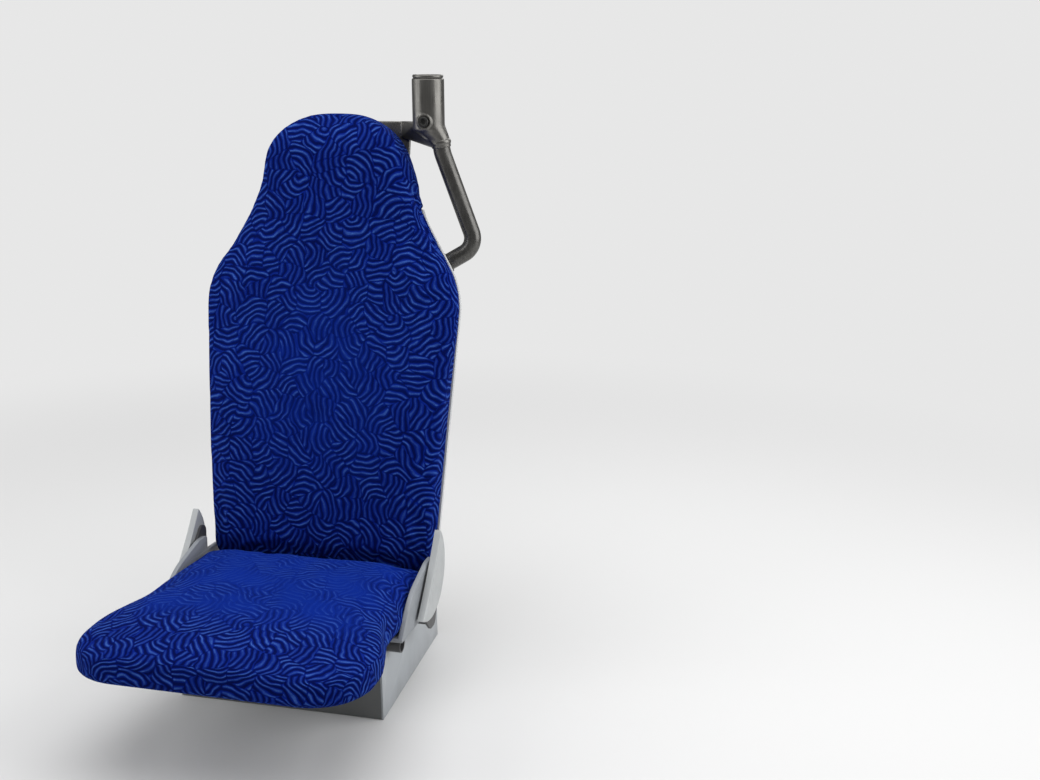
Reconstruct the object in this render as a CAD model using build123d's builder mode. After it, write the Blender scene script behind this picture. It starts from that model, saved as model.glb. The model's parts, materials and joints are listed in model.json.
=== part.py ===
"""City bus passenger seat on a low plinth, with a grab handle and a stanchion socket on its aisle side.

The seat faces -Y and its aisle side is +X. The origin is on the floor, in the middle of the plinth's foot.
All sizes are millimetres and degrees.
"""
from build123d import *
import math
import os

os.makedirs("parts", exist_ok=True)

# Fold line, where the front of the back meets the top of the cushion
fold_y = 28.0
fold_height = 190.0
recline = 12.0
cushion_pitch = 4.0

# Back pad, seen from the front: heights run up the back from the fold line
back_bottom = -26.0
back_bottom_half = 200.0
shoulder_half = 227.0
shoulder_height = 465.0
nape_half = 158.0
nape_height = 580.0
head_half = 101.0
back_top = 755.0
back_corner_radius = 36.0
shoulder_radius = 150.0
nape_radius = 120.0
head_radius = 110.0

# Back pad, seen from the side: depths run back from the fold plane
pad_depth = 42.0
pad_edge_radius = 16.0
front_facing = 0.8
lumbar_height = 190.0
lumbar_bulge = 9.0
neck_height = 520.0
neck_hollow = 9.0
head_roll_height = 690.0
head_roll_back = 26.0
wrap_bottom = 597.0
wrap_depth = 76.0
wrap_edge_radius = 22.0

# Back shell and rear panel
soft_clearance = 0.3
shell_thickness = 9.0
shell_inset = 1.5
panel_inset = 12.0
panel_wall = 4.0
panel_top_depth = 82.0
panel_middle_depth = 96.0
panel_bottom_depth = 78.0
panel_middle_height = 270.0
panel_edge_radius = 9.0

# Cushion, seen from above: distances run forward from the fold line
cushion_depth = 434.0
cushion_tail = -7.0
cushion_rear_half = 200.0
cushion_front_half = 229.0
flare_to_front = 124.0
flare_length = 85.0
flare_ease = 20.0
cushion_front_radius = 88.0
cushion_tail_radius = 18.0
cushion_thickness = 60.0
cushion_top_radius = 16.0
cushion_bottom_radius = 12.0
crown_rise = 12.0
crown_ahead = 130.0
crown_radius = 2000.0

# Cushion pan with its side wings
pan_clearance = 0.8
pan_floor = 6.0
pan_wall = 8.0
pan_front_gap = 84.0
pan_floor_inset = 26.0
pan_tail = 40.0
wing_height = 20.0
wing_rear_gap = 6.0
wing_crest = 34.0
wing_fall = 120.0
wing_to_flare = 55.0
wing_radius = 55.0

# Back risers, folded steel straps from the rear cross tube up behind the shell
riser_thickness = 4.0
riser_inner_x = 108.0
riser_width = 36.0
riser_top = 150.0
riser_foot_front = 46.0
riser_foot_rear = 50.0
riser_slot = 0.6

# Hip brackets, steel plates on the ends of the rear cross tube
bracket_thickness = 4.0
bracket_front = 74.0
bracket_rear = 6.0
bracket_top = 56.0
bracket_radius = 12.0
bracket_rim = 3.0

# Hip covers, half-moon plates outside the brackets
cover_gap = 0.3
cover_thickness = 12.0
cover_tip = (-10.0, 68.0)
cover_foot = (-108.0, -54.0)
cover_rear_bulge = 68.0
cover_front_bulge = 5.0
cover_edge_radius = 3.5

# Plinth of two folded side cheeks with a front and a rear sheet
plinth_half_width = 175.0
plinth_depth = 300.0
cheek_thickness = 3.0
floor_flange = 34.0
top_flange = 26.0
sheet_thickness = 2.5
sheet_clearance = 0.5
floor_bolt_half_x = 152.0
floor_bolt_half_y = 110.0
floor_bolt_radius = 4.5
lid_gap = 22.0

# Cross tubes
cross_tube_radius = 12.5
cross_tube_wall = 2.0
tube_clearance = 0.3
rear_tube_ahead = 20.0
front_tube_ahead = 138.0
front_tube_half = 198.0

# Stanchion socket and its arm
pole_radius = 17.5
bore_clearance = 0.1
socket_radius = 27.0
socket_x = 159.0
socket_behind = 183.0
socket_drop = 55.0
socket_height = 89.0
socket_floor = 14.0
ring_radius = 25.5
ring_height = 6.0
screw_radius = 9.0
screw_head = 7.0
screw_height = 20.0
arm_rise = 38.0
arm_thickness = 22.0
arm_plate = 8.0
arm_clearance = 0.5
arm_tip_x = 42.0
arm_corner_x = 112.0
foot_drop = 54.0
lug_offset = 18.0
lug_radius = 16.5
lug_height = 12.0

# Grab handle
tube_radius = 14.5
tube_wall = 2.0
tube_neck = 32.0
tube_neck_lean = 5.0
neck_bend_radius = 60.0
elbow_radius = 30.0
elbow_reach = 56.0
handle_foot_height = 514.0
handle_foot_radius = 17.5
handle_foot_thickness = 6.0
collar_radius = 16.5
collar_height = 9.0

# Directions and planes that the pieces are drawn on
lean = math.radians(recline)
pitch = math.radians(cushion_pitch)
fold = Vector(0, fold_y, fold_height)
back_up = Vector(0, math.sin(lean), math.cos(lean))
back_rearward = Vector(0, math.cos(lean), -math.sin(lean))
seat_up = Vector(0, math.sin(pitch), math.cos(pitch))
seat_rearward = Vector(0, math.cos(pitch), -math.sin(pitch))
back_face = Plane(origin=fold, x_dir=(1, 0, 0), z_dir=-back_rearward)
back_side = Plane(origin=fold, x_dir=back_rearward, z_dir=(1, 0, 0))
back_slice = Plane(origin=fold, x_dir=(1, 0, 0), z_dir=back_up)
seat_face = Plane(origin=fold, x_dir=(1, 0, 0), z_dir=seat_up)
seat_side = Plane(origin=fold, x_dir=seat_rearward, z_dir=(1, 0, 0))
sides = (("left", -1), ("right", 1))

# Stack of layers behind the back pad and beside the cushion
shell_front = pad_depth + soft_clearance
shell_rear = shell_front + shell_thickness
wing_inner = cushion_rear_half + pan_clearance
wing_outer = wing_inner + pan_wall
bracket_outer = wing_outer + bracket_thickness
cover_inner = bracket_outer + cover_gap
pan_top = cushion_thickness + soft_clearance
pan_bottom = pan_top + pan_floor
wide = 2 * shoulder_half
flare_end = cushion_depth - flare_to_front
flare_start = flare_end - flare_length
wing_front = flare_start - wing_to_flare
socket_bottom = back_top - socket_drop
arm_height = socket_bottom + arm_rise


def on_back(x, height, depth):
    """Point of the seat given by its place on the back: across, up the back, behind the fold plane."""
    return Vector(x, 0, 0) + fold + back_up * height + back_rearward * depth


# Outline of the back, shared by the pad, the shell and the rear panel
with BuildSketch() as back_outline:
    with BuildLine():
        FilletPolyline(
            (0, back_bottom),
            (back_bottom_half, back_bottom),
            (shoulder_half, shoulder_height),
            (nape_half, nape_height),
            (head_half, back_top),
            (0, back_top),
            radius=[back_corner_radius, shoulder_radius, nape_radius, head_radius],
        )
        mirror(about=Plane.YZ)
    make_face()

# Back pad: a slab with a lumbar bulge and a head that wraps over to the rear
with BuildPart() as back_pad:
    with BuildSketch(back_face.offset(-wrap_depth)):
        add(back_outline.sketch)
    extrude(amount=wrap_depth + lumbar_bulge)
    with BuildSketch(back_side):
        with BuildLine():
            ThreePointArc(
                (0, back_bottom),
                (-lumbar_bulge, lumbar_height),
                (0, 2 * lumbar_height),
            )
            ThreePointArc(
                (0, 2 * lumbar_height),
                (neck_hollow / 2, neck_height - neck_hollow),
                (0, head_roll_height - neck_hollow),
            )
            ThreePointArc(
                (0, head_roll_height - neck_hollow),
                (neck_hollow / 2, head_roll_height + head_roll_back),
                (head_roll_back, back_top),
            )
            Polyline(
                (head_roll_back, back_top),
                (wrap_depth, back_top),
                (wrap_depth, wrap_bottom),
                (pad_depth, wrap_bottom),
                (pad_depth, back_bottom),
                (0, back_bottom),
            )
        make_face()
    extrude(amount=wide, both=True, mode=Mode.INTERSECT)
    wrap_face = back_pad.faces().sort_by(Axis((0, 0, 0), back_rearward))[-1]
    fillet(wrap_face.edges(), radius=wrap_edge_radius)
    front_faces = [face for face in back_pad.faces() if face.normal_at().dot(back_rearward) < -front_facing]
    front_edges = [edge for face in front_faces for edge in face.edges()]
    rim_edges = [edge for edge in front_edges if sum(edge.is_same(other) for other in front_edges) == 1]
    fillet(rim_edges, radius=pad_edge_radius)
back_pad.part.label = "back_pad"
export_step(back_pad.part, "parts/back_pad.step")

# Back shell: the thin moulded board behind the pad, a little proud of its edge
with BuildPart() as back_shell:
    with BuildSketch(back_face.offset(-shell_rear)):
        add(back_outline.sketch)
        offset(amount=-shell_inset)
        with Locations((0, wrap_bottom - soft_clearance)):
            Rectangle(wide, back_top, align=(Align.CENTER, Align.MIN), mode=Mode.SUBTRACT)
    extrude(amount=shell_thickness)
back_shell.part.label = "back_shell"
export_step(back_shell.part, "parts/back_shell.step")


def panel_block(inset, wall):
    """Bulged block behind the shell; its outline is drawn in by inset and its depth by wall."""
    with BuildPart() as block:
        with BuildSketch(back_face.offset(-shell_rear)):
            add(back_outline.sketch)
            offset(amount=-inset)
            with Locations((0, wrap_bottom - soft_clearance - wall)):
                Rectangle(wide, back_top, align=(Align.CENTER, Align.MIN), mode=Mode.SUBTRACT)
        extrude(amount=-panel_middle_depth)
        with BuildSketch(back_side):
            with BuildLine():
                ThreePointArc(
                    (panel_bottom_depth - wall, back_bottom),
                    (panel_middle_depth - wall, panel_middle_height),
                    (panel_top_depth - wall, wrap_bottom),
                )
                Polyline(
                    (panel_top_depth - wall, wrap_bottom),
                    (shell_rear, wrap_bottom),
                    (shell_rear, back_bottom),
                    (panel_bottom_depth - wall, back_bottom),
                )
            make_face()
        extrude(amount=wide, both=True, mode=Mode.INTERSECT)
    return block.part


# Rear panel: a bulged moulded cover, hollow towards the shell
with BuildPart() as rear_panel:
    add(panel_block(panel_inset, 0))
    rear_skin = rear_panel.faces().sort_by(Axis((0, 0, 0), back_rearward))[-1]
    fillet(rear_skin.edges(), radius=panel_edge_radius)
    add(panel_block(panel_inset + panel_wall, panel_wall), mode=Mode.SUBTRACT)
    with BuildSketch(back_face.offset(-shell_rear)):
        for name, side in sides:
            with Locations((side * (riser_inner_x + riser_width / 2), riser_top)):
                Rectangle(riser_width + 2 * riser_slot, 2 * riser_top, align=(Align.CENTER, Align.MAX))
    extrude(amount=-riser_thickness - riser_slot, mode=Mode.SUBTRACT)
rear_panel.part.label = "rear_panel"
export_step(rear_panel.part, "parts/rear_panel.step")

# Outline of the cushion, shared with the pan
flare_turn = math.atan2(cushion_front_half - cushion_rear_half, flare_length)
flare_radius = flare_ease / math.tan(flare_turn / 2)
with BuildSketch() as cushion_outline:
    with BuildLine():
        FilletPolyline(
            (0, cushion_tail),
            (cushion_rear_half, cushion_tail),
            (cushion_rear_half, -flare_start),
            (cushion_front_half, -flare_end),
            (cushion_front_half, -cushion_depth),
            (0, -cushion_depth),
            radius=[cushion_tail_radius, flare_radius, flare_radius, cushion_front_radius],
        )
        mirror(about=Plane.YZ)
    make_face()

# Cushion with a crowned top
crown_middle = fold - seat_rearward * crown_ahead + seat_up * (crown_rise - crown_radius)
with BuildPart() as seat_cushion:
    with BuildSketch(seat_face.offset(-cushion_thickness)):
        add(cushion_outline.sketch)
    extrude(amount=2 * cushion_thickness)
    with Locations(crown_middle):
        Sphere(crown_radius, mode=Mode.INTERSECT)
    fillet(seat_cushion.faces().sort_by(Axis((0, 0, 0), seat_up))[-1].edges(), radius=cushion_top_radius)
    fillet(seat_cushion.faces().sort_by(Axis((0, 0, 0), seat_up))[0].edges(), radius=cushion_bottom_radius)
seat_cushion.part.label = "seat_cushion"
export_step(seat_cushion.part, "parts/seat_cushion.step")

# Cushion pan: a floor under the cushion with a wing up each side at the rear
with BuildPart() as cushion_pan:
    with BuildSketch(seat_face.offset(-pan_bottom)):
        add(cushion_outline.sketch)
        offset(amount=-pan_floor_inset)
        with Locations((0, pan_front_gap - cushion_depth)):
            Rectangle(wide, cushion_depth, align=(Align.CENTER, Align.MAX), mode=Mode.SUBTRACT)
        with Locations((0, pan_tail)):
            Rectangle(2 * wing_outer, pan_tail + wing_front, align=(Align.CENTER, Align.MAX))
    extrude(amount=pan_floor)
    for name, side in sides:
        with BuildSketch(seat_side.offset(side * wing_inner)):
            with BuildLine():
                FilletPolyline(
                    (pan_tail, -pan_bottom),
                    (pan_tail, -wing_rear_gap),
                    (-wing_rear_gap, -wing_rear_gap),
                    (-wing_rear_gap, wing_height),
                    (-wing_crest, wing_height),
                    (-wing_fall, -wing_rear_gap),
                    (-wing_front, -pan_top),
                    radius=[wing_rear_gap, wing_rear_gap / 2, wing_rear_gap, wing_radius, 2 * wing_radius],
                )
                Polyline(
                    (-wing_front, -pan_top),
                    (-wing_front, -pan_bottom),
                    (pan_tail, -pan_bottom),
                )
            make_face()
        extrude(amount=side * pan_wall)
cushion_pan.part.label = "cushion_pan"
export_step(cushion_pan.part, "parts/cushion_pan.step")

# Back risers: straps that lie on the shell's rear and fold forward under the pan, over the rear cross tube
riser_length = riser_top + pan_bottom - riser_thickness
for name, side in sides:
    with BuildPart() as back_riser:
        with BuildSketch(back_face.offset(-shell_rear)):
            with Locations((side * (riser_inner_x + riser_width / 2), riser_top)):
                Rectangle(riser_width, riser_length, align=(Align.CENTER, Align.MAX))
        extrude(amount=-riser_thickness)
        with BuildSketch(seat_face.offset(-pan_bottom)):
            with Locations((side * (riser_inner_x + riser_width / 2), riser_foot_rear)):
                Rectangle(riser_width, riser_foot_rear + riser_foot_front, align=(Align.CENTER, Align.MAX))
        extrude(amount=-riser_thickness)
    back_riser.part.label = f"back_riser_{name}"
    export_step(back_riser.part, f"parts/back_riser_{name}.step")

# Hip brackets: plates from the ends of the rear cross tube up beside the wings of the pan
tube_drop = pan_bottom + riser_thickness + tube_clearance + cross_tube_radius
for name, side in sides:
    with BuildPart() as hip_bracket:
        with BuildSketch(seat_side.offset(side * wing_outer)):
            with BuildLine():
                FilletPolyline(
                    (-bracket_front, -pan_top),
                    (-rear_tube_ahead - cross_tube_radius, -tube_drop - cross_tube_radius - bracket_rim),
                    (-rear_tube_ahead + cross_tube_radius, -tube_drop - cross_tube_radius - bracket_rim),
                    (bracket_rear, -pan_bottom),
                    (bracket_rear, bracket_top),
                    (-bracket_front, -pan_top / 2),
                    radius=bracket_radius,
                    close=True,
                )
            make_face()
        extrude(amount=side * bracket_thickness)
    hip_bracket.part.label = f"hip_bracket_{name}"
    export_step(hip_bracket.part, f"parts/hip_bracket_{name}.step")

# Hip covers: half-moon plates, nearly straight in front and rounded behind
tip = Vector(*cover_tip)
foot = Vector(*cover_foot)
chord = (foot - tip).normalized()
behind = Vector(-chord.Y, chord.X)
middle = (tip + foot) * 0.5
for name, side in sides:
    with BuildPart() as hip_cover:
        with BuildSketch(seat_side.offset(side * cover_inner)):
            with BuildLine():
                ThreePointArc(tip, middle + behind * cover_front_bulge, foot)
                ThreePointArc(tip, middle + behind * cover_rear_bulge, foot)
            make_face()
        extrude(amount=side * cover_thickness)
        fillet(hip_cover.faces().sort_by(Axis.X)[-1 if side > 0 else 0].edges(), radius=cover_edge_radius)
    hip_cover.part.label = f"hip_cover_{name}"
    export_step(hip_cover.part, f"parts/hip_cover_{name}.step")


def pan_underside(y):
    """Height of the underside of the pan floor at a place along Y."""
    return fold_height - pan_bottom / math.cos(pitch) - (y - fold_y) * math.tan(pitch)


# Places of the cross tubes, under the feet of the risers
tube_places = {"front": (-front_tube_ahead, -tube_drop), "rear": (-rear_tube_ahead, -tube_drop)}
plinth_end = plinth_depth / 2

# Plinth cheeks: folded sheets with a flange on the floor and a flange under the pan
for name, side in sides:
    with BuildPart() as plinth_cheek:
        with BuildSketch(Plane.YZ.offset(side * plinth_half_width)):
            with BuildLine():
                Polyline(
                    (-plinth_end, 0),
                    (plinth_end, 0),
                    (plinth_end, pan_underside(plinth_end)),
                    (-plinth_end, pan_underside(-plinth_end)),
                    (-plinth_end, 0),
                )
            make_face()
        extrude(amount=-side * cheek_thickness)
        flange_align = Align.MAX if side > 0 else Align.MIN
        flange_length = plinth_depth - 4 * cheek_thickness
        with BuildSketch():
            with Locations((side * plinth_half_width, 0)):
                Rectangle(floor_flange, flange_length, align=(flange_align, Align.CENTER))
            with Locations(
                (side * floor_bolt_half_x, floor_bolt_half_y),
                (side * floor_bolt_half_x, -floor_bolt_half_y),
            ):
                Circle(floor_bolt_radius, mode=Mode.SUBTRACT)
        extrude(amount=cheek_thickness)
        with BuildSketch(seat_face.offset(-pan_bottom)):
            with Locations((side * plinth_half_width, pan_bottom * math.tan(pitch) - fold_y)):
                Rectangle(top_flange, flange_length, align=(flange_align, Align.CENTER))
        extrude(amount=-cheek_thickness)
        with BuildSketch(seat_side):
            with Locations(*tube_places.values()):
                Circle(cross_tube_radius + tube_clearance)
        extrude(amount=side * wide, mode=Mode.SUBTRACT)
    plinth_cheek.part.label = f"plinth_cheek_{name}"
    export_step(plinth_cheek.part, f"parts/plinth_cheek_{name}.step")

# Plinth sheets that close the front and the rear between the cheeks
sheet_half = plinth_half_width - cheek_thickness
for name, end in (("front", -1), ("rear", 1)):
    with BuildPart() as plinth_sheet:
        with BuildSketch(Plane.XY.offset(sheet_clearance)):
            with Locations((0, end * plinth_end)):
                sheet_align = Align.MIN if end < 0 else Align.MAX
                Rectangle(2 * sheet_half, sheet_thickness, align=(Align.CENTER, sheet_align))
        extrude(amount=pan_underside(plinth_end * end + sheet_thickness) - 2 * sheet_clearance)
    plinth_sheet.part.label = f"plinth_sheet_{name}"
    export_step(plinth_sheet.part, f"parts/plinth_sheet_{name}.step")

# Plinth lid: closes the top between the pan and the rear sheet
with BuildPart() as plinth_lid:
    with BuildSketch(seat_face.offset(-pan_bottom)):
        with Locations((0, pan_tail + lid_gap)):
            lid_length = plinth_end - fold_y - pan_tail - lid_gap
            Rectangle(2 * plinth_half_width, lid_length, align=(Align.CENTER, Align.MIN))
    extrude(amount=sheet_thickness)
plinth_lid.part.label = "plinth_lid"
export_step(plinth_lid.part, "parts/plinth_lid.step")

# Cross tubes through the cheeks; the rear one ends at the hip brackets
tube_halves = {"front": front_tube_half, "rear": wing_outer}
for name, place in tube_places.items():
    with BuildPart() as cross_tube:
        with BuildSketch(seat_side):
            with Locations(place):
                Circle(cross_tube_radius)
                Circle(cross_tube_radius - cross_tube_wall, mode=Mode.SUBTRACT)
        extrude(amount=tube_halves[name], both=True)
    cross_tube.part.label = f"cross_tube_{name}"
    export_step(cross_tube.part, f"parts/cross_tube_{name}.step")

# Stanchion socket: an upright cup with an arm that reaches behind the head
socket_y = fold_y + socket_behind
socket_foot = fold_height + socket_bottom
arm_depth = wrap_depth + arm_clearance
socket_on_slice = back_slice.to_local_coords(Vector(socket_x, socket_y, socket_foot))
arm_floor = arm_height - arm_thickness / 2
with BuildPart() as stanchion_socket:
    with BuildSketch(Plane.XY.offset(socket_foot)):
        with Locations((socket_x, socket_y)):
            Circle(socket_radius)
    extrude(amount=socket_height)
    with BuildSketch(Plane.XY.offset(socket_foot)):
        with Locations((socket_x + lug_offset, socket_y)):
            Circle(lug_radius)
    extrude(amount=lug_height)
    with BuildSketch(back_slice.offset(arm_floor)):
        with BuildLine():
            Polyline(
                (socket_x, socket_on_slice.Y),
                (arm_corner_x, arm_depth),
                (arm_tip_x, arm_depth),
                (arm_tip_x, arm_depth + arm_plate),
                (arm_corner_x, arm_depth + arm_plate),
                (socket_x + socket_radius / 2, socket_on_slice.Y + socket_radius / 2),
                (socket_x, socket_on_slice.Y),
            )
        make_face()
    extrude(amount=arm_thickness)
    with BuildSketch(back_face.offset(-arm_depth)):
        with Locations((arm_tip_x, arm_height)):
            Rectangle(arm_corner_x - arm_tip_x, foot_drop, align=(Align.MIN, Align.MAX))
    extrude(amount=-arm_plate)
    with BuildSketch(Plane.XY.offset(socket_foot)):
        with Locations((socket_x + lug_offset, socket_y)):
            Circle(lug_radius)
    extrude(amount=-arm_thickness, mode=Mode.SUBTRACT)
    with BuildSketch(Plane.XY.offset(socket_foot + socket_floor)):
        with Locations((socket_x, socket_y)):
            Circle(pole_radius + bore_clearance)
    extrude(amount=socket_height, mode=Mode.SUBTRACT)
stanchion_socket.part.label = "stanchion_socket"
export_step(stanchion_socket.part, "parts/stanchion_socket.step")

# Ring round the mouth of the socket
with BuildPart() as socket_ring:
    with BuildSketch(Plane.XY.offset(socket_foot + socket_height)):
        with Locations((socket_x, socket_y)):
            Circle(ring_radius)
            Circle(pole_radius + bore_clearance, mode=Mode.SUBTRACT)
    extrude(amount=ring_height)
socket_ring.part.label = "socket_ring"
export_step(socket_ring.part, "parts/socket_ring.step")

# Clamp screw on the front of the socket
with BuildPart() as socket_screw:
    with BuildSketch(Plane.XZ.offset(socket_radius + soft_clearance - socket_y)):
        with Locations((socket_x, socket_foot + screw_height)):
            Circle(screw_radius)
    extrude(amount=screw_head)
socket_screw.part.label = "socket_screw"
export_step(socket_screw.part, "parts/socket_screw.step")

# Path of the grab handle: down from the socket, out over the shoulder and in to the side of the rear panel
taper = math.atan2(shoulder_half - nape_half, nape_height - shoulder_height)
outward = (math.cos(taper), math.sin(taper))
outline_x = shoulder_half - (handle_foot_height - shoulder_height) * math.tan(taper)
panel_side_x = outline_x - panel_inset * outward[0]
panel_side_height = handle_foot_height - panel_inset * outward[1]
foot_depth = shell_rear + handle_foot_radius + soft_clearance


def from_panel(distance):
    """Point at a distance outward from the side of the rear panel, on the line of the handle's lower end."""
    across = panel_side_x + distance * outward[0]
    return on_back(across, panel_side_height + distance * outward[1], foot_depth)


handle_top = Vector(socket_x + lug_offset, socket_y, socket_foot)
handle_neck = handle_top + Vector(tube_neck_lean, 0, -tube_neck)
handle_elbow = from_panel(handle_foot_thickness + elbow_reach)
handle_end = from_panel(handle_foot_thickness)
with BuildPart() as handle_tube:
    with BuildLine() as handle_path:
        FilletPolyline(
            handle_top,
            handle_neck,
            handle_elbow,
            handle_end,
            radius=[neck_bend_radius, elbow_radius],
        )
    with BuildSketch(Plane(origin=handle_top, z_dir=handle_path.line % 0)):
        Circle(tube_radius)
        Circle(tube_radius - tube_wall, mode=Mode.SUBTRACT)
    sweep()
    split(bisect_by=Plane(origin=handle_top, z_dir=(0, 0, -1)), keep=Keep.TOP)
handle_tube.part.label = "handle_tube"
export_step(handle_tube.part, "parts/handle_tube.step")

# Foot of the handle on the side of the rear panel
with BuildPart() as handle_foot:
    with BuildSketch(Plane(origin=from_panel(0), z_dir=from_panel(1) - from_panel(0))):
        Circle(handle_foot_radius)
    extrude(amount=handle_foot_thickness)
handle_foot.part.label = "handle_foot"
export_step(handle_foot.part, "parts/handle_foot.step")

# Collar where the handle leaves the socket
with BuildPart() as handle_collar:
    with BuildSketch(Plane.XY.offset(socket_foot - collar_height)):
        with Locations((handle_top.X, handle_top.Y)):
            Circle(collar_radius)
    extrude(amount=collar_height)
    with BuildSketch(Plane(origin=handle_top, z_dir=handle_neck - handle_top)):
        Circle(tube_radius + tube_clearance)
    extrude(amount=2 * collar_height, both=True, mode=Mode.SUBTRACT)
handle_collar.part.label = "handle_collar"
export_step(handle_collar.part, "parts/handle_collar.step")
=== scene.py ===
"""Looks of the city bus passenger seat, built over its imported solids."""
import json
import math
import bmesh
import bpy
import numpy as np
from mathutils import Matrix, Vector


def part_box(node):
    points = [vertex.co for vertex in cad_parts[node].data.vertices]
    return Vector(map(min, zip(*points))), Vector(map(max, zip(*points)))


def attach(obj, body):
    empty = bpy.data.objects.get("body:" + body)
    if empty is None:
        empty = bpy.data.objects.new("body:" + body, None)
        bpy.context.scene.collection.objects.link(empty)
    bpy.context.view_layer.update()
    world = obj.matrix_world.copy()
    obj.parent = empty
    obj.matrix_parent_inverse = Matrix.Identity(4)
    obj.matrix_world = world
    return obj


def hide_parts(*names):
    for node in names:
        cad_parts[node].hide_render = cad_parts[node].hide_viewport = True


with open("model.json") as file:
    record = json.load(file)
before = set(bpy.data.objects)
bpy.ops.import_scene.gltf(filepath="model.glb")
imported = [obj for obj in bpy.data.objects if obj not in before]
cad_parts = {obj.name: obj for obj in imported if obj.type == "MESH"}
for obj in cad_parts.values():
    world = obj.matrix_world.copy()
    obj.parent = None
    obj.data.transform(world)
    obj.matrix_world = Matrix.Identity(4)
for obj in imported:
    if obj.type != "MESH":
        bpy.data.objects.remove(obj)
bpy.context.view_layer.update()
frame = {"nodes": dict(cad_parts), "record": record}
nodes = frame["nodes"]
scene = bpy.context.scene

# Camera at the photograph's viewing place, with the seat left of the middle as it is there
LENS_MM = 41.54
SENSOR_MM = 36.0
VIEWING_PLACE = Vector((0.761, -1.752, 1.020))
VIEWING_AIM = Vector((0.324, 0.172, 0.465))
camera_data = bpy.data.cameras.new("camera")
camera_data.lens = LENS_MM
camera_data.sensor_width = SENSOR_MM
camera = bpy.data.objects.new("camera", camera_data)
scene.collection.objects.link(camera)
camera.location = VIEWING_PLACE
camera.rotation_euler = (VIEWING_AIM - VIEWING_PLACE).to_track_quat("-Z", "Y").to_euler()
scene.camera = camera

# Directions of the seat, as in the solids: the fold line, the leaning back and the pitched cushion
FOLD = Vector((0.0, 0.028, 0.190))
LEAN = math.radians(12.0)
PITCH = math.radians(4.0)
BACK_UP = Vector((0.0, math.sin(LEAN), math.cos(LEAN)))
BACK_REAR = Vector((0.0, math.cos(LEAN), -math.sin(LEAN)))
SEAT_UP = Vector((0.0, math.sin(PITCH), math.cos(PITCH)))
SEAT_FORWARD = Vector((0.0, -math.cos(PITCH), math.sin(PITCH)))
ACROSS = Vector((1.0, 0.0, 0.0))
BACK_AXES = np.array([ACROSS, BACK_UP, BACK_REAR])
SEAT_AXES = np.array([ACROSS, SEAT_FORWARD, SEAT_UP])


def smooth_step(low, high, value):
    """0 below low, 1 above high, smooth between; arrays or numbers."""
    t = np.clip((value - low) / (high - low), 0.0, 1.0)
    return t * t * (3.0 - 2.0 * t)


# Mesh helpers

def link(name, mesh):
    """New object with that mesh in the scene."""
    piece = bpy.data.objects.new(name, mesh)
    scene.collection.objects.link(piece)
    return piece


def read_points(mesh):
    """Vertex places as an array."""
    flat = np.empty(len(mesh.vertices) * 3, np.float32)
    mesh.vertices.foreach_get("co", flat)
    return flat.reshape(-1, 3).astype(float)


def write_points(mesh, points):
    """Moves the vertices to those places."""
    mesh.vertices.foreach_set("co", np.asarray(points, np.float32).ravel())
    mesh.update()


def read_along(piece, axes):
    """Vertex places from the fold line, along those axes."""
    return (read_points(piece.data) - np.array(FOLD)) @ axes.T


def read_normals(mesh):
    """Vertex normals as an array."""
    flat = np.empty(len(mesh.vertices) * 3, np.float32)
    mesh.vertex_normals.foreach_get("vector", flat)
    return flat.reshape(-1, 3).astype(float)


def settle(piece):
    """Turns the piece's modifiers into its mesh."""
    graph = bpy.context.evaluated_depsgraph_get()
    mesh = bpy.data.meshes.new_from_object(piece.evaluated_get(graph))
    old = piece.data
    piece.modifiers.clear()
    piece.data = mesh
    bpy.data.meshes.remove(old)
    return piece


def shade_smooth(piece):
    """Smooth shading on every face."""
    piece.data.polygons.foreach_set("use_smooth", [True] * len(piece.data.polygons))
    return piece


def remesh(piece, voxel):
    """Even quads of about the voxel's size."""
    modifier = piece.modifiers.new("even", "REMESH")
    modifier.mode = "VOXEL"
    modifier.voxel_size = voxel
    return settle(piece)


def relax(piece, rounds):
    """Rounds the edges by smoothing."""
    modifier = piece.modifiers.new("relax", "SMOOTH")
    modifier.iterations = rounds
    modifier.factor = 0.5
    return settle(piece)


def subdivide(piece):
    """Smooth subdivision, once."""
    modifier = piece.modifiers.new("finer", "SUBSURF")
    modifier.levels = 1
    modifier.render_levels = 1
    return settle(piece)


def spin(name, rings, origin, axis, steps, hollow=False):
    """Turned piece: rings of (radius, height) along an axis from an origin.

    A radius below zero is half a hexagon's width across its flats. A hollow piece has no ends: its last ring
    is joined to its first.
    """
    axis = Vector(axis).normalized()
    side = axis.orthogonal().normalized()
    other = axis.cross(side)
    points = []
    for radius, height in rings:
        for step in range(steps):
            angle = 2 * math.pi * step / steps
            reach = radius
            if radius < 0:
                reach = -radius / math.cos((angle + math.pi / 6) % (math.pi / 3) - math.pi / 6)
            outward = side * math.cos(angle) + other * math.sin(angle)
            points.append(Vector(origin) + axis * height + outward * reach)
    faces = []
    for ring in range(len(rings) - 1):
        for step in range(steps):
            a = ring * steps + step
            b = ring * steps + (step + 1) % steps
            faces.append((a, b, b + steps, a + steps))
    last = (len(rings) - 1) * steps
    if hollow:
        for step in range(steps):
            a = last + step
            b = last + (step + 1) % steps
            faces.append((a, b, (step + 1) % steps, step))
    else:
        faces.append(tuple(range(steps - 1, -1, -1)))
        faces.append(tuple(range(last, last + steps)))
    mesh = bpy.data.meshes.new(name)
    mesh.from_pydata([tuple(p) for p in points], [], faces)
    mesh.update()
    return shade_smooth(link(name, mesh))


FILL_PRESSURE = 4.0
FILL_FRAMES = 20


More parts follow.
